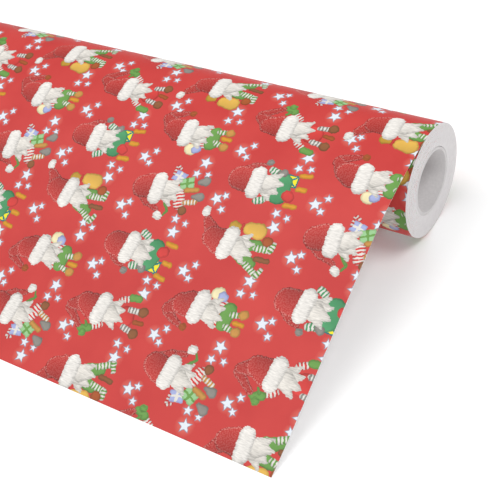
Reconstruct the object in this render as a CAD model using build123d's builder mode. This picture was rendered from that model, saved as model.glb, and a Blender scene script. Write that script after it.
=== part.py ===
from build123d import *
import os
from math import cos, pi, radians, sin

# A roll of wrapping paper lying on a table, with its free end drawn off the top of the roll
# and down a shallow ramp to the table in front. The roll's axis is X, the sheet runs to -Y,
# and the origin is on the axis, halfway along the roll.

# ---- driving dimensions, in millimetres and degrees ----
web_width = 700.0  # width of the paper, and of the core, which is cut flush with it
roll_radius = 32.0  # outside of the wound turns
paper_thickness = 0.1

core_bore_radius = 17.5
ply_thickness = 0.46
ply_film = 0.04  # glue between two plies

glue_margin = 30.0  # from each end of the roll to the line of starter glue
glue_width = 3.0  # around the core
glue_thickness = 0.1
glue_seat = 0.02  # on each face of the glue
glue_clock = 75.0  # where the glue lies round the core, from +Y

lift_clearance = 0.3  # between the turning roll and the sheet lying on it
wrap_angle = 12.0  # of sheet still lying on the roll, behind its top
lift_angle = 3.4  # past the top, where the sheet leaves the roll
ramp_angle = 23.8  # slope of the straight part of the sheet
toe_angle = 20.0  # slope at the cut edge, where the sheet meets the table
droop_radius = 200.0  # of the bend from the roll down to the ramp
toe_radius = 560.0  # of the bend from the ramp to the toe

# ---- sizes that follow ----
ply_names = ["core_inner_ply", "core_middle_ply", "core_outer_ply"]
ply_step = ply_thickness + ply_film
core_radius = core_bore_radius + len(ply_names) * ply_step - ply_film
glue_inner_radius = core_radius + glue_seat
glue_outer_radius = glue_inner_radius + glue_thickness
wound_bore_radius = glue_outer_radius + glue_seat
sheet_radius = roll_radius + lift_clearance  # underside of the sheet, where it lies on the roll
table_z = -roll_radius
core_length = web_width
glue_length = web_width - 2 * glue_margin

os.makedirs("parts", exist_ok=True)


def save(piece, name):
    piece.part.label = name
    export_step(piece.part, f"parts/{name}.step")
    print(f"{name}: {piece.part.volume:.1f} mm3, valid {piece.part.is_valid}")


# ---- core: three plies of board, glued one over the other ----
# A real ply is a strip wound in a screw with its edges butted. The joint is closed, so each
# ply is a plain tube here.
for ply_number, ply_name in enumerate(ply_names):
    ply_bore = core_bore_radius + ply_number * ply_step
    with BuildPart() as ply:
        with BuildSketch(Plane.YZ):
            Circle(ply_bore + ply_thickness)
            Circle(ply_bore, mode=Mode.SUBTRACT)
        extrude(amount=core_length / 2, both=True)
    save(ply, ply_name)


# ---- starter glue: one line along the core that holds the paper's inner end ----
glue_arc = glue_width / core_radius * 180 / pi
with BuildPart() as starter_glue:
    with BuildSketch(Plane.YZ):
        with BuildLine():
            glue_inside = CenterArc((0, 0), glue_inner_radius, glue_clock, glue_arc)
            glue_outside = CenterArc((0, 0), glue_outer_radius, glue_clock, glue_arc)
            Line(glue_inside @ 0, glue_outside @ 0)
            Line(glue_inside @ 1, glue_outside @ 1)
        make_face()
    extrude(amount=glue_length / 2, both=True)
save(starter_glue, "starter_glue")


# ---- wound paper: all the turns still on the core ----
with BuildPart() as wound_paper:
    with BuildSketch(Plane.YZ):
        Circle(roll_radius)
        Circle(wound_bore_radius, mode=Mode.SUBTRACT)
    extrude(amount=web_width / 2, both=True)
save(wound_paper, "wound_paper")


# ---- free sheet: over the top of the roll, down a slack bend and a ramp to the table ----
# Its underside is drawn from the roll outwards. Directions are slopes below -Y, so a bend
# that steepens the sheet turns to the left, and one that flattens it turns to the right.
def heading(slope):
    return (-cos(radians(slope)), -sin(radians(slope)))


def bend_drop(radius, slope_a, slope_b):
    return radius * abs(cos(radians(slope_a)) - cos(radians(slope_b)))


lift_height = sheet_radius * cos(radians(lift_angle))
droop_drop = bend_drop(droop_radius, lift_angle, ramp_angle)
toe_drop = bend_drop(toe_radius, ramp_angle, toe_angle)
ramp_drop = lift_height - table_z - droop_drop - toe_drop
ramp_length = ramp_drop / sin(radians(ramp_angle))

with BuildPart() as free_sheet:
    with BuildSketch(Plane.YZ):
        with BuildLine():
            wrap = CenterArc((0, 0), sheet_radius, 90 - wrap_angle, wrap_angle + lift_angle)
            droop = JernArc(wrap @ 1, heading(lift_angle), droop_radius, ramp_angle - lift_angle)
            ramp = PolarLine(droop @ 1, ramp_length, direction=heading(ramp_angle))
            toe = JernArc(ramp @ 1, heading(ramp_angle), toe_radius, toe_angle - ramp_angle)
            offset(amount=paper_thickness, side=Side.RIGHT)
        make_face()
    extrude(amount=web_width / 2, both=True)
save(free_sheet, "free_sheet")
print(f"cut edge at y {(toe @ 1).X:.2f}, z {(toe @ 1).Y:.2f}, ramp {ramp_length:.2f}")
print(f"sheet length {wrap.length + droop.length + ramp.length + toe.length:.2f}")
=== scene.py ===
import math

import bmesh
import bpy
from mathutils import Matrix, Vector


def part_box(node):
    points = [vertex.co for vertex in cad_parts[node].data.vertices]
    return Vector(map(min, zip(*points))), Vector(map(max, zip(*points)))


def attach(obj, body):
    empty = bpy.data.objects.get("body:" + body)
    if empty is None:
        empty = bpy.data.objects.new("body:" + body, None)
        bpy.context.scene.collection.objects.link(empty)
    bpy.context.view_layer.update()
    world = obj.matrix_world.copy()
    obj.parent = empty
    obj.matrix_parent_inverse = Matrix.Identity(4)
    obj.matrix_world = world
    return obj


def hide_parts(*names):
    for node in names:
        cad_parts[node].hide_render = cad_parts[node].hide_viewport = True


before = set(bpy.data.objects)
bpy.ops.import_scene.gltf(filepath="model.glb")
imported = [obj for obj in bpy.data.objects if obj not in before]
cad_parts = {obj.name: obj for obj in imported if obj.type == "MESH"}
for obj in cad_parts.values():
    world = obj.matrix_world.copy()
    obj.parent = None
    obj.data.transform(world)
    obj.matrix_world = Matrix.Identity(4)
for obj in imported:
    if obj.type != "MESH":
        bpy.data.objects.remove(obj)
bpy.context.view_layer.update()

# ---- Core ----
# A spirally wound tube of grey recycled board: three strips, each wound in a screw over the
# one below and glued. The edges of the inner strip butt together in a fine helical line.
MM = 0.001
MATH, VECTOR, MIX = "ShaderNodeMath", "ShaderNodeVectorMath", "ShaderNodeMix"


def linear(hex_colour):
    """An sRGB hex colour as the linear colour that a shader socket takes."""
    channels = [int(hex_colour[i : i + 2], 16) / 255 for i in (1, 3, 5)]
    return tuple(c / 12.92 if c <= 0.04045 else ((c + 0.055) / 1.055) ** 2.4 for c in channels) + (1.0,)


def add_node(tree, kind, *values, **named):
    """Add a node. Names are its properties or its sockets, and plain values fill its sockets in order."""
    made = tree.nodes.new(kind)
    sockets = {}
    for name, value in named.items():
        if name in made.bl_rna.properties:
            setattr(made, name, value)
        else:
            sockets[name.replace("_", " ")] = value
    usable = [s for s in made.inputs if s.enabled]
    filled = list(zip(usable, values))
    filled += [(next(s for s in usable if s.name == name), value) for name, value in sockets.items()]
    for socket, value in filled:
        if isinstance(value, bpy.types.Node):
            value = next(s for s in value.outputs if s.enabled)
        if isinstance(value, bpy.types.NodeSocket):
            tree.links.new(value, socket)
        else:
            socket.default_value = value
    return made


def new_material(name):
    material = bpy.data.materials.new(name)
    material.use_nodes = True
    material.node_tree.nodes.clear()
    return material, material.node_tree


def stand_for(piece, body, slot, *nodes):
    """The piece replaces CAD nodes and rides on their body. The slot is not used."""
    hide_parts(*nodes)
    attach(piece, body)


def mesh_piece(name, mesh_data, materials):
    mesh = bpy.data.meshes.new(name)
    mesh_data.to_mesh(mesh)
    mesh_data.free()
    for material in materials:
        mesh.materials.append(material)
    piece = bpy.data.objects.new(name, mesh)
    bpy.context.collection.objects.link(piece)
    return piece


# Recycled board is matt and slightly mottled, with short fibres that show as fine flecks.
BOARD_FLECKS = 700.0  # to the metre, so that a fleck is about as long as a fibre, 1.4 mm
board, tree = new_material("grey recycled core board")
place = add_node(tree, "ShaderNodeTexCoord")
fleck = add_node(tree, "ShaderNodeTexNoise", Vector=place.outputs["Object"], Scale=BOARD_FLECKS, Detail=5.0)
tint = add_node(tree, MIX, fleck, linear("#D2CECE"), linear("#E5E1E1"), data_type="RGBA")
bump = add_node(tree, "ShaderNodeBump", Height=fleck, Strength=0.25, Distance=0.0002)
shader = add_node(tree, "ShaderNodeBsdfPrincipled", Base_Color=tint, Roughness=0.88, Normal=bump)
add_node(tree, "ShaderNodeOutputMaterial", shader)

roll_low, roll_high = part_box("wound_paper")
HALF_WIDTH = roll_high[0]
BORE_RADIUS = 17.5 * MM
PLY_PITCH = 0.5 * MM
PLY_THICKNESS = 0.46 * MM
STRIP_ANGLE = math.radians(60)  # the strips' edges to the tube's length
GROOVE_WIDTH, GROOVE_DEPTH = 0.5 * MM, 0.15 * MM
AROUND = 96  # flats round the tube
WELD = 0.0001 * MM


def wound_tube(inner, outer, groove_depth):
    """A tube whose faces run along a strip's helical edge, where the butt joint is a fine groove."""
    tube = bmesh.new()
    advance = 2 * math.pi * inner / math.tan(STRIP_ANGLE)
    turns = math.ceil(HALF_WIDTH / advance) + 1
    half_groove = GROOVE_WIDTH / 2 / advance
    steps = [(turn + share, depth) for turn in range(-turns, turns + 1)
             for share, depth in ((-half_groove, 0.0), (0.0, groove_depth), (half_groove, 0.0))]
    walls = []
    for radius in (inner, outer):
        columns = []
        for i in range(AROUND):
            clock = 2 * math.pi * i / AROUND
            column = []
            for step, depth in steps:
                x = advance * (step + i / AROUND)
                r = radius + (depth if radius == inner and abs(x) < HALF_WIDTH else 0)
                x = max(-HALF_WIDTH, min(HALF_WIDTH, x))
                column.append(tube.verts.new((x, r * math.cos(clock), r * math.sin(clock))))
            columns.append(column)
        walls.append(columns)
        for i in range(AROUND):
            here, after = columns[i], columns[(i + 1) % AROUND]
            if i == AROUND - 1:  # the helix comes round one turn further along
                here, after = here[:-3], after[3:]
            for k in range(len(here) - 1):
                tube.faces.new((here[k], here[k + 1], after[k + 1], after[k]))
    for end in (0, -1):
        for i in range(AROUND):
            j = (i + 1) % AROUND
            tube.faces.new((walls[0][i][end], walls[0][j][end], walls[1][j][end], walls[1][i][end]))
    bmesh.ops.remove_doubles(tube, verts=tube.verts, dist=WELD)
    bmesh.ops.recalc_face_normals(tube, faces=tube.faces)
    for face in tube.faces:
        face.smooth = abs(face.normal.x) < 0.7
    return tube


for number, node in enumerate(("core_inner_ply", "core_middle_ply", "core_outer_ply")):
    inner = BORE_RADIUS + number * PLY_PITCH
    tube = wound_tube(inner, inner + PLY_THICKNESS, 0 if number else GROOVE_DEPTH)
    ply = mesh_piece("board_" + node.split("_")[1] + "_ply", tube, [board])
    stand_for(ply, "roll", "core_board", node)

# ---- Starter glue ----
# One line of hot-melt glue on the core holds the first turn of paper while winding starts.
# It is translucent and yellowish, and the wound paper hides it all the way.
glue, tree = new_material("hot-melt glue")
place = add_node(tree, "ShaderNodeTexCoord")
wave = add_node(tree, "ShaderNodeTexNoise", Vector=place.outputs["Object"], Scale=300.0)
bump = add_node(tree, "ShaderNodeBump", Height=wave, Strength=0.3, Distance=0.0001)
shader = add_node(tree, "ShaderNodeBsdfPrincipled", Base_Color=linear("#D9D2B8"), Roughness=0.35, Normal=bump)
add_node(tree, "ShaderNodeOutputMaterial", shader)
glue_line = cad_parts["starter_glue"].data.materials
glue_line.clear()
glue_line.append(glue)

# ---- Printed paper ----
# Gift wrap is one web of thin white paper, printed on one side in several inks and lightly
# varnished. The print repeats in cells, in columns along the roll, every second one dropped by
# half. A cell holds small stars and a red stocking with fur, tissue and presents, which still
# looks like a bearded figure in a cap. Its lengths are in mm: a along the roll, b down the sheet.
COLUMN_PITCH, ROW_PITCH, DROP = 55.4, 36.9, 18.1
FIRST_COLUMN, FIRST_ROW = 14.8, 2.2  # from the roll's end, and back from the lift-off line
REACH, THICKEST = 64.0, 8.0  # spans that keep a stored place or radius between 0 and 1
EDGE_SOFTNESS = 4.0  # an ink's edge fades over a quarter of a millimetre
WAVER = 1.3  # how far the brush strays
FUR_RAGGED = 1.5  # how far fur's edge strays
STRIPES = 3.2  # radians to the millimetre, a white stripe every 2 mm
RIM = 1.1  # the width of a stocking's paler rim
RIBBON = 0.17  # half a ribbon's width, as a share of half the parcel's
BLACK = (0, 0, 0, 1)
INK = {
    "ground": "#C43C3A", "light ground": "#CF4743", "stocking": "#B03430", "rim": "#DE8F87",
    "fur": "#E9E5DF", "tissue": "#DFDAD2",
    "green": "#6E9F50", "fir": "#4F9867", "gold": "#DDB052", "dull gold": "#BE9638", "brown": "#8F5C3A",
    "rust": "#A9592F", "tan": "#C8924B", "ochre": "#DB9A2F", "grey": "#8F8B84", "red": "#D2433F",
    "white": "#E3DFD8", "blue": "#A9B2DD", "mint": "#9CCB92", "cream": "#EFE3B5", "yellow": "#F2E62E",
    "teal": "#2F7F86", "star": "#E3E9F0", "star edge": "#8593AC", "glow": "#DE7B6C",
}

# Each present is a stroke of ink: from a, b to a, b, its radius at each end, its colour, and S if striped.
S = 1.0
NOTHING = (31, 31, 31, 31, 0, 0, "red", 0)  # a stroke off the edge of the cell
PRESENTS = {
    "sack": [
        (5, -4, 12, -7, 4, 3.4, "green", 0), (5, 2, 12, 3.5, 3.8, 3, "green", 0),
        (10, -8, 18, -12, 1.9, 1.9, "green", S), (18, -12, 19.5, -8.6, 1.7, 1.5, "green", S),
        (12, 2, 20, 3, 1.9, 1.9, "green", S), (20, 3, 20.6, 6.4, 1.7, 1.5, "green", S),
        (14, -3.5, 21, -3, 1.5, 1.5, "brown", 0), (16.5, 7, 17, 7, 2.9, 2.7, "rust", 0),
        (3.6, 11, 9.5, 11, 3.6, 4.7, "gold", 0), (-5, 10, -1.4, 10.6, 3.4, 1.4, "dull gold", 0),
        (-0.6, 9, -0.6, 12.2, 0.9, 0.9, "red", 0),
    ],
    "parcels": [
        (1, -10, 1, -14.4, 0.9, 0.9, "red", S), (1.6, -15.4, 4, -14.2, 0.9, 0.9, "red", S),
        (3, 7, 7, 11, 0.9, 0.8, "green", 0), (7, 11, 5.5, 14, 0.8, 0.6, "green", 0),
        (10, 1, 12, 5.6, 3.4, 3.4, "red", S), (13, -3, 19, -5, 1.6, 1.6, "tan", 0),
        (18.6, -9.5, 22, -11, 1.4, 3, "grey", 0), (15, 4, 21, 2, 1.6, 1.6, "tan", S),
        (18.4, -0.6, 22.6, -1.4, 1.2, 2.8, "grey", 0), (15.6, 8.6, 16, 8.8, 2.6, 2.5, "brown", 0),
    ],
    "mittens": [
        (-1, -8, -6, -11, 1.9, 1.9, "red", S), (-7, -12, -12, -13.5, 2.4, 2, "green", 0),
        (-9, -11, -10.5, -9, 1, 0.8, "green", 0), (5, 8, 9, 10, 1.9, 1.9, "red", S),
        (11, 11.5, 15.5, 12, 2.3, 2, "green", 0), (10.5, 0, 11.5, 0.6, 6, 5.8, "red", 0),
        (13, -5, 19, -6, 1.7, 1.7, "grey", S), (13, 5, 19, 5.6, 1.7, 1.7, "grey", S),
        (20.4, -6.6, 20.8, -6.4, 2.9, 2.8, "brown", 0), (21, 6, 21.4, 6.2, 2.9, 2.8, "brown", 0),
        (18.4, -0.6, 23, 0, 1.4, 1.4, "rust", 0),
    ],
    "bauble": [
        (7, -3, 8.5, 4, 4.4, 4, "red", S), (12, -4, 12.6, 3.6, 3.9, 4.2, "green", 0),
        (14, -5, 19, -6, 1.7, 1.7, "green", S), (15, 2, 20, 3, 1.7, 1.7, "green", S),
        (20.4, -6, 20.8, -6, 2.7, 2.7, "tan", 0), (21, 3.6, 21.4, 3.8, 2.7, 2.7, "tan", 0),
        (18, -1.6, 22.6, -1.6, 1.4, 1.4, "ochre", 0), (2, 9.8, 3.4, 10.4, 3.4, 3.4, "cream", 0),
        (5.6, 9.4, 6.4, 9, 2.7, 2.6, "blue", 0),
    ],
    "lantern": [
        (9.5, -3, 10.6, 3.4, 6, 6, "fir", 0), (1, -9, 5, -8, 2.2, 2.2, "fir", S),
        (3, 9, 0, 10.4, 2.2, 2.2, "fir", S), (5.6, -8.4, 8, -9, 1.4, 2.4, "grey", 0),
        (15.6, 3, 17, 3.6, 3.2, 3, "red", 0), (18, -10, 23.4, -11, 1.4, 1.4, "ochre", 0),
        (19.6, -2, 23.6, -2.4, 1.5, 1.5, "ochre", 0), (16.8, 8.6, 22.4, 8, 1.5, 1.5, "ochre", 0),
    ],
}
# Crumpled white tissue stands out of every stocking in four points.
TISSUE = [(1, 2, 6.5, 8, 4.2, 0.8), (1, -2, 7.5, -7.6, 4.4, 0.8),
          (2, 1, 9.6, 3.6, 4.8, 0.7), (2, -1, 10.4, -2.4, 5, 0.8)]
CUFF = (-5.5, -5, -4.5, 5.5, 4.4, 4.4)
# A stocking is its leg, its foot, the toe's tail and a bobble.
STOCKINGS = {
    "sack": [(-10.5, 0, -15, 1, 7.6, 6.2, "stocking", 0), (-15, 2, -22, 9, 5.4, 2.6, "stocking", 0),
             NOTHING, (-25, 13, -25, 14, 2.6, 2.4, "fur", 0)],
    "parcels": [(-10.5, 0, -14.5, 1.5, 7.6, 6.8, "stocking", 0), (-14, 2, -8, 9.5, 6, 2.6, "stocking", 0),
                (-7, 9.5, 0, 12, 2.4, 1.5, "stocking", 0), (2, 15, 3, 15.5, 2.5, 2.3, "fur", 0)],
    "mittens": [(-10.5, 0, -16, 1, 7.6, 5.8, "stocking", 0), (-17, 0, -24, -3, 5.4, 3, "stocking", 0),
                (-24, -5, -14, -12, 2.8, 1.8, "stocking", 0), (-9.5, -15.4, -9, -15.4, 2.2, 2, "green", 0)],
    "bauble": [(-10.5, 0, -15, -1, 7.6, 6.2, "stocking", 0), (-16, -1, -22, -6, 5.6, 3.4, "stocking", 0),
               (-21, -8, -12, -12, 2.8, 1.8, "stocking", 0), (-9, -12.6, -8.6, -12.6, 2.1, 2, "rust", 0)],
    "lantern": [(-10.5, 0, -15, 0, 7.6, 7.2, "stocking", 0), (-15, -1, -11, -7, 5.6, 3.2, "stocking", 0),
                (-9, -9, -5, -10.5, 2.4, 1.5, "stocking", 0), (-2.5, -13, -2, -13, 2.1, 1.9, "grey", 0)],
}
# Box-shaped presents: centre, half size, turn in degrees, colour, ribbon's colour, and S if the ribbon
# crosses from corner to corner.
NO_BOX = (31, 31, 0, 0, 0, "red", "red", 0)
BOXES = {
    "sack": [NO_BOX, NO_BOX],
    "parcels": [(5, -9.5, 4.2, 3.2, 12, "blue", "white", 0), (11.5, -7, 4.4, 3.4, -25, "mint", "green", 0)],
    "mittens": [NO_BOX, NO_BOX],
    "bauble": [NO_BOX, NO_BOX],
    "lantern": [NO_BOX, (13.4, -5.6, 4.6, 3.8, -4, "yellow", "teal", S)],
}
DESIGNS = ("sack", "parcels", "mittens", "bauble", "lantern")
# Down a column the designs follow one another, and some are turned over (1).
EVEN_COLUMN = (("sack", 0), ("bauble", 0), ("parcels", 0), ("lantern", 1), ("mittens", 1))
ODD_COLUMN = (("mittens", 0), ("lantern", 0), ("sack", 1), ("bauble", 1), ("parcels", 1))
# Each star of a cell: its centre and the reach of its points.
STARS = [(-22, 3, 3.6), (-16.5, -2, 2.2), (-17.5, 6, 2.2), (17, -3, 3.7), (15, 4.5, 2.6), (22, 3.4, 2.0)]


def new_group(name, sockets_in):
    group = bpy.data.node_groups.new(name, "ShaderNodeTree")
    for label, kind in sockets_in.items():
        group.interface.new_socket(label, in_out="INPUT", socket_type="NodeSocket" + kind)
    group.interface.new_socket("Colour", in_out="OUTPUT", socket_type="NodeSocketColor")
    given, result = group.nodes.new("NodeGroupInput"), group.nodes.new("NodeGroupOutput")
    return group, given.outputs, result.inputs["Colour"]


def unpack_place(tree, stored):
    """The place and the third number that a colour holds. Nodes are laid out in working order, and nothing
    is left to change type on its own, so that the renderer's small working memory is never overrun."""
    parts = add_node(tree, "ShaderNodeSeparateColor", stored).outputs
    place = add_node(tree, "ShaderNodeCombineXYZ", parts["Red"], parts["Green"], 0.0)
    half = (-REACH / 2, -REACH / 2, 0)
    return add_node(tree, VECTOR, place, (REACH, REACH, 0), half, operation="MULTIPLY_ADD"), parts["Blue"]


def ink_stroke(name, fur=False, knit=False):
    """A tapered round-ended stroke of ink, shaded as if lit from one side, laid over Below."""
    group, given, result = new_group(
        name, {"Below": "Color", "Point": "Vector", "From": "Color", "To": "Color", "Ink": "Color",
               "Striped": "Float", "Grain": "Float"})
    start, start_radius = unpack_place(group, given["From"])
    finish, finish_radius = unpack_place(group, given["To"])
    reach = add_node(group, VECTOR, given["Point"], start, operation="SUBTRACT")
    run = add_node(group, VECTOR, finish, start, operation="SUBTRACT")
    direction = add_node(group, VECTOR, run, operation="NORMALIZE")
    along = add_node(group, VECTOR, reach, direction, operation="DOT_PRODUCT").outputs["Value"]
    whole = add_node(group, VECTOR, run, operation="LENGTH").outputs["Value"]
    share = add_node(group, MATH, along, whole, operation="DIVIDE", use_clamp=True)
    closest = add_node(group, MIX, share, start, finish, data_type="VECTOR")
    off = add_node(group, VECTOR, given["Point"], closest, operation="SUBTRACT")
    far = add_node(group, VECTOR, off, operation="LENGTH").outputs["Value"]
    radius = add_node(group, MIX, share, start_radius, finish_radius)
    radius = add_node(group, MATH, radius, THICKEST, operation="MULTIPLY")
    depth = add_node(group, MATH, radius, far, operation="SUBTRACT")
    if fur:
        depth = add_node(group, MATH, given["Grain"], FUR_RAGGED, depth, operation="MULTIPLY_ADD")
    cover = add_node(group, MATH, depth, EDGE_SOFTNESS, 0.5, operation="MULTIPLY_ADD", use_clamp=True)
    round_edge = add_node(group, MATH, depth, 0.55 if fur else 0.8, operation="MULTIPLY", use_clamp=True)
    lit = add_node(group, VECTOR, off, (-0.02, -0.035, 0), operation="DOT_PRODUCT").outputs["Value"]
    ink = given["Ink"]
    if not fur and not knit:
        wave = add_node(group, MATH, along, STRIPES, operation="MULTIPLY")
        wave = add_node(group, MATH, wave, operation="SINE")
        band = add_node(group, MATH, wave, 2.5, 0.5, operation="MULTIPLY_ADD", use_clamp=True)
        band = add_node(group, MATH, band, given["Striped"], operation="MULTIPLY")
        ink = add_node(group, MIX, band, ink, linear(INK["white"]), data_type="RGBA")
    if knit:
        near_edge = add_node(group, MATH, depth, RIM, operation="LESS_THAN")
        loops = add_node(group, MATH, near_edge, 0.5, 0.16, operation="MULTIPLY_ADD")
        loops = add_node(group, MATH, loops, given["Striped"], operation="MULTIPLY")
        ink = add_node(group, MIX, loops, ink, linear(INK["rim"]), data_type="RGBA")
    darkest = 0.7 if fur else 0.6
    tone = add_node(group, MATH, round_edge, 0.98 - darkest, darkest, operation="MULTIPLY_ADD")
    tone = add_node(group, MATH, tone, lit, operation="ADD")
    if fur:
        tone = add_node(group, MATH, given["Grain"], 0.7, tone, operation="MULTIPLY_ADD")
    shaded = add_node(group, MIX, tone, BLACK, ink, data_type="RGBA", clamp_factor=False)
    group.links.new(add_node(group, MIX, cover, given["Below"], shaded, data_type="RGBA").outputs[2], result)
    return group


def parcel_box():
    """A rectangle of ink with a ribbon across both ways or from corner to corner, laid over Below."""
    group, given, result = new_group(
        "wrapped parcel", {"Below": "Color", "Point": "Vector", "Centre": "Color", "Half": "Color",
                           "Ink": "Color", "Ribbon": "Color"})
    centre, turn = unpack_place(group, given["Centre"])
    turn = add_node(group, MATH, turn, 2 * math.pi, -math.pi, operation="MULTIPLY_ADD")
    cosine, sine = (add_node(group, MATH, turn, operation=o) for o in ("COSINE", "SINE"))
    reach = add_node(group, VECTOR, given["Point"], centre, operation="SUBTRACT")
    half = add_node(group, "ShaderNodeSeparateColor", given["Half"]).outputs
    spare, shape = [], []
    minus_sine = add_node(group, MATH, sine, -1.0, operation="MULTIPLY")
    for axis, size in (((cosine, sine), half["Red"]), ((minus_sine, cosine), half["Green"])):
        direction = add_node(group, "ShaderNodeCombineXYZ", *axis)
        along = add_node(group, VECTOR, reach, direction, operation="DOT_PRODUCT").outputs["Value"]
        along = add_node(group, MATH, along, operation="ABSOLUTE")
        size = add_node(group, MATH, size, THICKEST, operation="MULTIPLY")
        spare.append(add_node(group, MATH, size, along, operation="SUBTRACT"))
        shape.append(add_node(group, MATH, along, size, operation="DIVIDE"))
    depth = add_node(group, MATH, *spare, operation="MINIMUM")
    cover = add_node(group, MATH, depth, EDGE_SOFTNESS, 0.5, operation="MULTIPLY_ADD", use_clamp=True)
    straight = add_node(group, MATH, *shape, operation="MINIMUM")
    corner = add_node(group, MATH, *shape, operation="SUBTRACT")
    corner = add_node(group, MATH, corner, operation="ABSOLUTE")
    border = add_node(group, MATH, depth, 0.25, operation="MULTIPLY")
    corner = add_node(group, MATH, corner, border, operation="MINIMUM")
    from_ribbon = add_node(group, MIX, half["Blue"], straight, corner)
    ribbon = add_node(group, MATH, from_ribbon, RIBBON, operation="LESS_THAN")
    ink = add_node(group, MIX, ribbon, given["Ink"], given["Ribbon"], data_type="RGBA")
    tone = add_node(group, MATH, add_node(group, MATH, depth, 0.9, operation="MULTIPLY", use_clamp=True),
                    0.3, 0.68, operation="MULTIPLY_ADD")
    shaded = add_node(group, MIX, tone, BLACK, ink, data_type="RGBA", clamp_factor=False)
    group.links.new(add_node(group, MIX, cover, given["Below"], shaded, data_type="RGBA").outputs[2], result)
    return group


printed, tree = new_material("varnished gift wrap, printed side")
spread = add_node(tree, "ShaderNodeUVMap", uv_map="print")
# Brush marks: outlines waver a little, fur has strands, knitting has loops and the inks vary in strength.
waver = add_node(tree, "ShaderNodeTexNoise", Vector=spread, Scale=550.0, Detail=1.0).outputs["Color"]
waver = add_node(tree, "ShaderNodeSeparateColor", waver).outputs
strands = add_node(tree, "ShaderNodeMapping", spread, Scale=(320, 1500, 1))
hairs = add_node(tree, "ShaderNodeTexNoise", Vector=strands, Scale=1.0, Detail=2.0)
hairs = add_node(tree, MATH, hairs, -0.5, operation="ADD")
stitch = add_node(tree, "ShaderNodeTexVoronoi", spread, Scale=1150.0, voronoi_dimensions="2D")
stitch = add_node(tree, MATH, stitch.outputs["Distance"], 0.42, operation="LESS_THAN")
mottle = add_node(tree, "ShaderNodeTexNoise", Vector=spread, Scale=28.0, Detail=3.0)
ground = add_node(tree, "ShaderNodeValToRGB", mottle)
for end, position, ink in zip(ground.color_ramp.elements, (0.3, 0.72), ("ground", "light ground")):
    end.position, end.color = position, linear(INK[ink])
page = add_node(tree, "ShaderNodeSeparateXYZ",
                add_node(tree, VECTOR, spread, (1 / MM, 1 / MM, 0),
                         (FIRST_COLUMN - HALF_WIDTH / MM, FIRST_ROW, 0), operation="MULTIPLY_ADD"))
columns_along = add_node(tree, MATH, page.outputs["X"], COLUMN_PITCH, operation="DIVIDE")
column = add_node(tree, MATH, columns_along, operation="ROUND")
cell_a = add_node(tree, MATH, column, -COLUMN_PITCH, page.outputs["X"], operation="MULTIPLY_ADD")
dropped = add_node(tree, MATH, column, 2.0, operation="FLOORED_MODULO")
down = add_node(tree, MATH, dropped, -DROP, page.outputs["Y"], operation="MULTIPLY_ADD")
rows_down = add_node(tree, MATH, down, ROW_PITCH, operation="DIVIDE")
row = add_node(tree, MATH, rows_down, operation="ROUND")
cell_b = add_node(tree, MATH, row, -ROW_PITCH, down, operation="MULTIPLY_ADD")
turn_in_five = add_node(tree, MATH, row, 5.0, operation="FLOORED_MODULO")
cell_kind = add_node(tree, MATH, dropped, 5.0, turn_in_five, operation="MULTIPLY_ADD")
cell_kind = add_node(tree, MATH, cell_kind, 0.1, 0.05, operation="MULTIPLY_ADD")


def look_up(where, values):
    """The value of step number where, in a ramp of equal steps."""
    ramp = add_node(tree, "ShaderNodeValToRGB", where)
    ramp.color_ramp.interpolation = "CONSTANT"
    steps = ramp.color_ramp.elements
    steps.remove(steps[1])
    steps[0].position = 0
    steps[0].color = values[0]
    for n, value in enumerate(values[1:], 1):
        steps.new(n / len(values)).color = value
    return ramp


cells = [((DESIGNS.index(design) + 0.5) / 5, turned, 0, 1) for design, turned in EVEN_COLUMN + ODD_COLUMN]
cell = add_node(tree, "ShaderNodeSeparateColor", look_up(cell_kind, cells))
design = cell.outputs["Red"]
mirror = add_node(tree, MATH, cell.outputs["Green"], -2.0, 1.0, operation="MULTIPLY_ADD")
cell_a = add_node(tree, MATH, waver["Red"], WAVER, cell_a, operation="MULTIPLY_ADD")
cell_b = add_node(tree, MATH, waver["Green"], WAVER, cell_b, operation="MULTIPLY_ADD")
point_a = add_node(tree, MATH, cell_a, -WAVER / 2, operation="ADD")
point_b = add_node(tree, MATH, cell_b, -WAVER / 2, operation="ADD")
point_b = add_node(tree, MATH, point_b, mirror, operation="MULTIPLY")
point = add_node(tree, "ShaderNodeCombineXYZ", point_a, point_b)

# Stars: the nearest of a cell's stars is drawn, with a blue-grey outline and a soft glow.
star_row = add_node(tree, MATH, rows_down, operation="FLOOR")
star_middle = add_node(tree, MATH, star_row, 0.5, operation="ADD")
star_b = add_node(tree, MATH, star_middle, -ROW_PITCH, down, operation="MULTIPLY_ADD")
star_seed = add_node(tree, MATH, column, 17.0, star_row, operation="MULTIPLY_ADD")
star_seed = add_node(tree, "ShaderNodeTexWhiteNoise", W=star_seed, noise_dimensions="1D").outputs["Color"]
chance = add_node(tree, "ShaderNodeSeparateColor", star_seed)
upside = add_node(tree, MATH, chance.outputs["Red"], 0.5, operation="LESS_THAN")
upside = add_node(tree, MATH, upside, 2.0, -1.0, operation="MULTIPLY_ADD")
star_b = add_node(tree, MATH, star_b, upside, operation="MULTIPLY")
star_point = add_node(tree, "ShaderNodeCombineXYZ", cell_a, star_b)
nearest = (100.0, 100.0, 0.0)
for a, b, radius in STARS:
    reach = add_node(tree, VECTOR, star_point, (1 / radius, 1 / radius, 1),
                     (-a / radius, -b / radius, 1 / radius), operation="MULTIPLY_ADD")
    flat = [add_node(tree, VECTOR, v, (1, 1, 0), operation="MULTIPLY") if isinstance(v, bpy.types.Node) else v
            for v in (reach, nearest)]
    near = [add_node(tree, VECTOR, v, operation="LENGTH").outputs["Value"] for v in flat]
    closer = add_node(tree, MATH, near[0], near[1], operation="LESS_THAN")
    nearest = add_node(tree, MIX, closer, nearest, reach, data_type="VECTOR")
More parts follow.
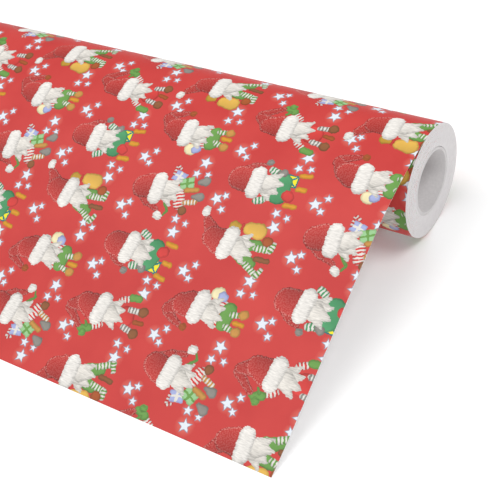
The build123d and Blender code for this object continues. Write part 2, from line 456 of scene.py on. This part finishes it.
star = add_node(tree, "ShaderNodeSeparateXYZ", nearest)
star_size = add_node(tree, MATH, 1.0, star.outputs["Z"], operation="DIVIDE")
spin = add_node(tree, MATH, star.outputs["Y"], star.outputs["X"], operation="ARCTAN2")
spin = add_node(tree, MATH, spin, chance.outputs["Green"], operation="ADD")
fifth = add_node(tree, MATH, spin, math.pi / 5, operation="PINGPONG")
out = add_node(tree, VECTOR, nearest, (1, 1, 0), operation="MULTIPLY")
out = add_node(tree, VECTOR, out, operation="LENGTH").outputs["Value"]
tip = add_node(tree, MATH, out, add_node(tree, MATH, fifth, operation="COSINE"), operation="MULTIPLY")
side = add_node(tree, MATH, out, add_node(tree, MATH, fifth, operation="SINE"), operation="MULTIPLY")
# A star's edge runs from its tip at 1 to its inner corner at 0.45, and this is the distance beyond it.
beyond = add_node(tree, MATH, add_node(tree, MATH, tip, -1.0, operation="ADD"), 0.384,
                  add_node(tree, MATH, side, 0.923, operation="MULTIPLY"), operation="MULTIPLY_ADD")
beyond = add_node(tree, MATH, beyond, star_size, operation="MULTIPLY")
glow = add_node(tree, MATH, out, -0.6, 0.95, operation="MULTIPLY_ADD", use_clamp=True)
picture = add_node(tree, MIX, glow, ground, linear(INK["glow"]), data_type="RGBA")
outline = add_node(tree, MATH, beyond, -3.0, 1.3, operation="MULTIPLY_ADD", use_clamp=True)
picture = add_node(tree, MIX, outline, picture, linear(INK["star edge"]), data_type="RGBA")
body = add_node(tree, MATH, beyond, -4.0, 0.4, operation="MULTIPLY_ADD", use_clamp=True)
picture = add_node(tree, MIX, body, picture, linear(INK["star"]), data_type="RGBA")


def stored_place(a, b, third):
    return (a / REACH + 0.5, b / REACH + 0.5, third, 1)


def paint(picture, group, **values):
    return add_node(tree, "ShaderNodeGroup", node_tree=group, Below=picture, Point=point, **values)


box_group = parcel_box()
for k in range(2):
    row_of = [BOXES[d][k] for d in DESIGNS]
    picture = paint(
        picture, box_group,
        Centre=look_up(design, [stored_place(a, b, turn / 360 + 0.5) for a, b, _, _, turn, *_ in row_of]),
        Half=look_up(design, [(box[2] / THICKEST, box[3] / THICKEST, box[7], 1) for box in row_of]),
        Ink=look_up(design, [linear(INK[box[5]]) for box in row_of]),
        Ribbon=look_up(design, [linear(INK[box[6]]) for box in row_of]))
present_group = ink_stroke("present")
knit_group = ink_stroke("knitted stocking", knit=True)
fur_group = ink_stroke("fur and tissue", fur=True)


def paint_strokes(picture, group, row_of, stitches=None):
    """One stroke for each design, all drawn by one group that looks its numbers up."""
    inks = look_up(design, [linear(INK[ink])[:3] + (striped,) for *_, ink, striped in row_of])
    return paint(
        picture, group,
        From=look_up(design, [stored_place(a, b, start / THICKEST) for a, b, _, _, start, *_ in row_of]),
        To=look_up(design, [stored_place(a, b, finish / THICKEST) for _, _, a, b, _, finish, *_ in row_of]),
        Ink=inks, Striped=stitches or inks.outputs["Alpha"], Grain=hairs)


def paint_fur(picture, stroke, ink):
    """A stroke of fur or tissue that every design has in the same place."""
    a, b, to_a, to_b, start, finish = stroke
    return paint(picture, fur_group, From=stored_place(a, b, start / THICKEST),
                 To=stored_place(to_a, to_b, finish / THICKEST), Ink=linear(INK[ink]), Grain=hairs)


most_presents = max(len(strokes) for strokes in PRESENTS.values())
for k in range(most_presents):
    picture = paint_strokes(picture, present_group,
                            [(PRESENTS[d] + [NOTHING] * most_presents)[k] for d in DESIGNS])
for point_of_tissue in TISSUE:
    picture = paint_fur(picture, point_of_tissue, "tissue")
for k in (2, 1, 0):
    picture = paint_strokes(picture, knit_group, [STOCKINGS[d][k] for d in DESIGNS], stitch)
picture = paint_fur(picture, CUFF, "fur")
picture = paint_strokes(picture, fur_group, [STOCKINGS[d][3] for d in DESIGNS])

fibre = add_node(tree, "ShaderNodeTexNoise", Vector=spread, Scale=900.0, Detail=3.0)
bump = add_node(tree, "ShaderNodeBump", Height=fibre, Strength=0.12, Distance=0.00008)
shine = add_node(tree, MATH, mottle, 0.12, 0.42, operation="MULTIPLY_ADD")
shader = add_node(tree, "ShaderNodeBsdfPrincipled", Base_Color=picture, Roughness=shine, Normal=bump)
shader.inputs["Specular IOR Level"].default_value = 0.2
add_node(tree, "ShaderNodeOutputMaterial", shader)

# The unprinted side and the cut edges are white uncoated paper, matt and slightly fibrous.
plain_paper, tree = new_material("white uncoated paper")
place = add_node(tree, "ShaderNodeTexCoord")
fibre = add_node(tree, "ShaderNodeTexNoise", Vector=place.outputs["Object"], Scale=450.0, Detail=4.0)
tint = add_node(tree, MIX, fibre, linear("#DDD9DA"), linear("#EBE8E8"), data_type="RGBA")
bump = add_node(tree, "ShaderNodeBump", Height=fibre, Strength=0.15, Distance=0.0001)
shader = add_node(tree, "ShaderNodeBsdfPrincipled", Base_Color=tint, Roughness=0.8, Normal=bump)
add_node(tree, "ShaderNodeOutputMaterial", shader)

# ---- Wound paper ----
# About 130 turns of the web, wound on the core by machine, so the ends are nearly flat and
# show the cut edges of the turns as fine rings. A turn of 0.1 mm paper is too fine to show,
# so each turn drawn here stands for two, and small sideways shifts keep the rings visible.
ROLL_RADIUS = (roll_high[2] - roll_low[2]) / 2
PAPER_BORE = 19.1 * MM
DRAWN_TURN = (ROLL_RADIUS - PAPER_BORE) / 60
LIFT = math.radians(3.4)  # from the top of the roll to where the sheet lifts off
SIDE_SHIFT = 0.1 * MM  # from the turn furthest to the left to the one furthest to the right
SHIFTS_TO_THE_METRE = 11.0  # along the web
STEPS_IN_A_TURN = 96


def new_geometry_tree(name, inputs):
    tree = bpy.data.node_groups.new(name, "GeometryNodeTree")
    sockets = {label: tree.interface.new_socket(label, in_out="INPUT", socket_type="NodeSocket" + kind)
               for label, kind in inputs.items()}
    tree.interface.new_socket("Geometry", in_out="OUTPUT", socket_type="NodeSocketGeometry")
    return tree, sockets, tree.nodes.new("NodeGroupInput").outputs


tree, sockets, given = new_geometry_tree(
    "wind the web on the core",
    {"Bore radius": "Float", "Roll radius": "Float", "Drawn turn": "Float", "Width": "Float",
     "Steps in a turn": "Int", "Loose end": "Float", "Shift": "Float", "Seed": "Float",
     "Printed side": "Material", "Paper": "Material"})
half_turn = add_node(tree, MATH, given["Drawn turn"], 0.5, operation="MULTIPLY")
wall = add_node(tree, MATH, given["Roll radius"], given["Bore radius"], operation="SUBTRACT")
layers = add_node(tree, MATH, wall, given["Drawn turn"], operation="DIVIDE")
spiral = add_node(tree, "GeometryNodeCurveSpiral", Resolution=given["Steps in a turn"], Reverse=True,
                  Rotations=add_node(tree, MATH, layers, 1.0, operation="SUBTRACT"),
                  Start_Radius=add_node(tree, MATH, given["Bore radius"], half_turn, operation="ADD"),
                  End_Radius=add_node(tree, MATH, given["Roll radius"], half_turn, operation="SUBTRACT"),
                  Height=0.0)
wound = add_node(tree, "GeometryNodeSplineParameter")
whole = add_node(tree, "GeometryNodeSplineLength")
unwound = add_node(tree, MATH, wound.outputs["Length"], whole.outputs["Length"], operation="SUBTRACT")
spiral = add_node(tree, "GeometryNodeStoreNamedAttribute", Geometry=spiral, Name="unwound", Value=unwound,
                  data_type="FLOAT", domain="POINT")
clock = add_node(tree, "ShaderNodeCombineXYZ", 0.0, 0.0, given["Loose end"])
spiral = add_node(tree, "GeometryNodeTransform", Geometry=spiral, Rotation=clock)
section = add_node(tree, "GeometryNodeCurvePrimitiveQuadrilateral", Width=given["Drawn turn"],
                   Height=given["Width"])
web = add_node(tree, "GeometryNodeCurveToMesh", Curve=spiral, Profile_Curve=section, Fill_Caps=True)
web = add_node(tree, "GeometryNodeTransform", Geometry=web, Rotation=(math.pi / 2, 0, math.pi / 2))
unwound = add_node(tree, "GeometryNodeInputNamedAttribute", Name="unwound", data_type="FLOAT")
turn_noise = add_node(tree, MATH, unwound, SHIFTS_TO_THE_METRE, given["Seed"], operation="MULTIPLY_ADD")
turn_noise = add_node(tree, "ShaderNodeTexNoise", W=turn_noise, Scale=1.0, Detail=1.0, noise_dimensions="1D")
centred = add_node(tree, MATH, turn_noise, -0.5, operation="ADD")
shift = add_node(tree, MATH, centred, given["Shift"], operation="MULTIPLY")
shift = add_node(tree, "ShaderNodeCombineXYZ", shift)
web = add_node(tree, "GeometryNodeSetPosition", Geometry=web, Offset=shift)
place = add_node(tree, "GeometryNodeInputPosition")
across_web = add_node(tree, "ShaderNodeSeparateXYZ", place).outputs["X"]
on_print = add_node(tree, "ShaderNodeCombineXYZ", across_web, unwound)
web = add_node(tree, "GeometryNodeStoreNamedAttribute", Geometry=web, Name="print", Value=on_print,
               data_type="FLOAT2", domain="CORNER")
normal = add_node(tree, "GeometryNodeInputNormal")
radial = add_node(tree, VECTOR, place, (0, 1, 1), operation="MULTIPLY")
radial = add_node(tree, VECTOR, radial, operation="NORMALIZE")
outward = add_node(tree, VECTOR, normal, radial, operation="DOT_PRODUCT").outputs["Value"]
curved = add_node(tree, MATH, outward, operation="ABSOLUTE")
curved = add_node(tree, MATH, curved, 0.5, operation="GREATER_THAN")
web = add_node(tree, "GeometryNodeSetShadeSmooth", web, True, curved, domain="FACE")
web = add_node(tree, "GeometryNodeRealizeInstances", web)
web = add_node(tree, "GeometryNodeSetMaterial", Geometry=web, Material=given["Paper"])
web = add_node(tree, "GeometryNodeSetMaterial", Geometry=web, Material=given["Printed side"],
               Selection=add_node(tree, MATH, outward, 0.5, operation="GREATER_THAN"))
add_node(tree, "NodeGroupOutput", web)


def grown(name, tree, sockets, values):
    """The plain mesh that a geometry tree makes from these values."""
    seed_object = bpy.data.objects.new(name + "_tree", bpy.data.meshes.new(name + "_tree"))
    bpy.context.collection.objects.link(seed_object)
    modifier = seed_object.modifiers.new("tree", "NODES")
    modifier.node_group = tree
    for label, value in values.items():
        modifier[sockets[label].identifier] = value
    evaluated = seed_object.evaluated_get(bpy.context.evaluated_depsgraph_get())
    mesh = bpy.data.meshes.new_from_object(evaluated)
    seed_object.modifiers.clear()
    bpy.data.objects.remove(seed_object)
    piece = bpy.data.objects.new(name, mesh)
    bpy.context.collection.objects.link(piece)
    return piece


wound_web = grown("wound_web", tree, sockets, {
    "Bore radius": PAPER_BORE, "Roll radius": ROLL_RADIUS, "Drawn turn": DRAWN_TURN, "Width": 2 * HALF_WIDTH,
    "Steps in a turn": STEPS_IN_A_TURN, "Loose end": math.pi / 2 + LIFT, "Shift": SIDE_SHIFT, "Seed": 4.0,
    "Printed side": printed, "Paper": plain_paper})
stand_for(wound_web, "roll", "paper", "wound_paper")

# ---- Free sheet ----
# The loose end of the same web, drawn forward off the top of the roll: it droops from the
# roll, runs down straight under its own stiffness and meets the table at its cut edge.
sheet_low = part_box("free_sheet")[0]
TABLE = sheet_low[2]
PAPER = 0.1 * MM
# How far the sheet is drawn back on to the roll, and its slopes on the way down and at its cut edge.
WRAP, RAMP, TOE = (math.radians(a) for a in (12.0, 23.8, 20.0))
DROOP_RADIUS, TOE_RADIUS = 200 * MM, 560 * MM
REST_RADIUS = ROLL_RADIUS + 0.02 * MM  # the underside just clears the turn below it
droop_length = DROOP_RADIUS * (RAMP - LIFT)
toe_length = TOE_RADIUS * (RAMP - TOE)
lift_y = -REST_RADIUS * math.sin(LIFT)
lift_z = REST_RADIUS * math.cos(LIFT)
droop_y = lift_y - DROOP_RADIUS * (math.sin(RAMP) - math.sin(LIFT))
droop_z = lift_z - DROOP_RADIUS * (math.cos(LIFT) - math.cos(RAMP))
ramp_drop = droop_z - TABLE - TOE_RADIUS * (math.cos(TOE) - math.cos(RAMP))
ramp_length = ramp_drop / math.sin(RAMP)
ramp_y = droop_y - ramp_length * math.cos(RAMP)
ramp_z = droop_z - ramp_drop
free_length = droop_length + ramp_length + toe_length
wrap_length = WRAP * REST_RADIUS


def underside(s):
    """Place and slope of the sheet's underside, s metres from where it lifts off the roll."""
    if s <= 0:
        a = LIFT + s / REST_RADIUS
        return -REST_RADIUS * math.sin(a), REST_RADIUS * math.cos(a), a
    if s <= droop_length:
        a = LIFT + s / DROOP_RADIUS
        return (lift_y - DROOP_RADIUS * (math.sin(a) - math.sin(LIFT)),
                lift_z - DROOP_RADIUS * (math.cos(LIFT) - math.cos(a)), a)
    s -= droop_length
    if s <= ramp_length:
        return droop_y - s * math.cos(RAMP), droop_z - s * math.sin(RAMP), RAMP
    a = RAMP - (s - ramp_length) / TOE_RADIUS
    return (ramp_y - TOE_RADIUS * (math.sin(RAMP) - math.sin(a)),
            ramp_z - TOE_RADIUS * (math.cos(a) - math.cos(RAMP)), a)


STEPS, COLUMNS = 110, 70
FEATHER = 3 * MM  # the hidden rear edge thins out on to the roll, where the real web goes on
sheet_mesh = bmesh.new()
uv = sheet_mesh.loops.layers.uv.new("print")
corner_at = {}
for side_up in (0, 1):
    for i in range(STEPS + 1):
        s = -wrap_length + (free_length + wrap_length) * i / STEPS
        y, z, a = underside(s)
        up = PAPER * side_up * min(1.0, (s + wrap_length) / FEATHER)
        for j in range(COLUMNS + 1):
            x = -HALF_WIDTH + 2 * HALF_WIDTH * j / COLUMNS
            corner_at[side_up, i, j] = sheet_mesh.verts.new((x, y - up * math.sin(a), z + up * math.cos(a)))


def sheet_face(corners, slot):
    face = sheet_mesh.faces.new([corner_at[c] for c in corners])
    face.material_index = slot
    face.smooth = corners[0][0] == corners[2][0]
    for loop, (_, i, j) in zip(face.loops, corners):
        loop[uv].uv = (-HALF_WIDTH + 2 * HALF_WIDTH * j / COLUMNS,
                       -wrap_length + (free_length + wrap_length) * i / STEPS)


for i in range(STEPS):
    for j in range(COLUMNS):
        sheet_face([(1, i, j), (1, i + 1, j), (1, i + 1, j + 1), (1, i, j + 1)], 0)
        sheet_face([(0, i, j + 1), (0, i + 1, j + 1), (0, i + 1, j), (0, i, j)], 1)
for j in range(COLUMNS):
    sheet_face([(0, STEPS, j), (0, STEPS, j + 1), (1, STEPS, j + 1), (1, STEPS, j)], 1)
    sheet_face([(1, 0, j), (1, 0, j + 1), (0, 0, j + 1), (0, 0, j)], 1)
for i in range(STEPS):
    sheet_face([(0, i, 0), (0, i + 1, 0), (1, i + 1, 0), (1, i, 0)], 1)
    sheet_face([(1, i, COLUMNS), (1, i + 1, COLUMNS), (0, i + 1, COLUMNS), (0, i, COLUMNS)], 1)
bmesh.ops.remove_doubles(sheet_mesh, verts=sheet_mesh.verts, dist=WELD)
for edge in sheet_mesh.edges:
    edge.smooth = len({face.material_index for face in edge.link_faces}) == 1
sheet = mesh_piece("drawn_off_sheet", sheet_mesh, [printed, plain_paper])
stand_for(sheet, "sheet", "paper", "free_sheet")

# ---- Floor, light and camera ----
# A plain white sweep in soft daylight, looked at from above the roll's right-hand end.
bpy.ops.mesh.primitive_plane_add(size=12, location=(0, 0, TABLE))
sweep = bpy.context.object
sweep.name = "pale_floor"
white_paint, tree = new_material("matt white paint")
shader = add_node(tree, "ShaderNodeBsdfPrincipled", Base_Color=(0.95, 0.95, 0.95, 1), Roughness=0.9,
                  Emission_Color=(1, 1, 1, 1), Emission_Strength=0.12)
add_node(tree, "ShaderNodeOutputMaterial", shader)
sweep.data.materials.append(white_paint)

studio = bpy.data.worlds.new("studio")
bpy.context.scene.world = studio
studio.use_nodes = True
studio.node_tree.nodes["Background"].inputs["Color"].default_value = (1, 1, 1, 1)
studio.node_tree.nodes["Background"].inputs["Strength"].default_value = 0.33
bpy.context.scene.view_settings.view_transform = "Standard"


def softbox(name, place, target, size, watts):
    light = bpy.data.lights.new(name, "AREA")
    light.shape, light.size, light.energy = "SQUARE", size, watts
    lamp = bpy.data.objects.new(name, light)
    bpy.context.collection.objects.link(lamp)
    lamp.location = place
    lamp.rotation_euler = (Vector(target) - Vector(place)).to_track_quat("-Z", "Y").to_euler()


softbox("overhead_softbox", (-0.5, -0.5, 2.1), (0.15, -0.05, 0), 2.0, 33)
softbox("fill_softbox", (1.25, 0.1, 1.75), (0.35, 0, 0), 0.9, 15.5)

AZIMUTH, ELEVATION, LEAN = (math.radians(a) for a in (42.32, 44.45, -14.86))
forward = Vector((-math.sin(AZIMUTH) * math.cos(ELEVATION), math.cos(AZIMUTH) * math.cos(ELEVATION),
                  -math.sin(ELEVATION)))
level = Vector((math.cos(AZIMUTH), math.sin(AZIMUTH), 0))
above = level.cross(forward)
across = math.cos(LEAN) * level + math.sin(LEAN) * above
upward = -math.sin(LEAN) * level + math.cos(LEAN) * above
# The camera stands to the right of, in front of and above the middle of the roll's right-hand end.
eye = Vector((HALF_WIDTH + 6.289 * ROLL_RADIUS, -11.743 * ROLL_RADIUS, 12.2 * ROLL_RADIUS))
lens = bpy.data.cameras.new("camera")
lens.lens = 76.06
lens.sensor_width = 36
camera = bpy.data.objects.new("camera", lens)
bpy.context.collection.objects.link(camera)
camera.matrix_world = Matrix.Translation(eye) @ Matrix((across, upward, -forward)).transposed().to_4x4()
bpy.context.scene.camera = camera
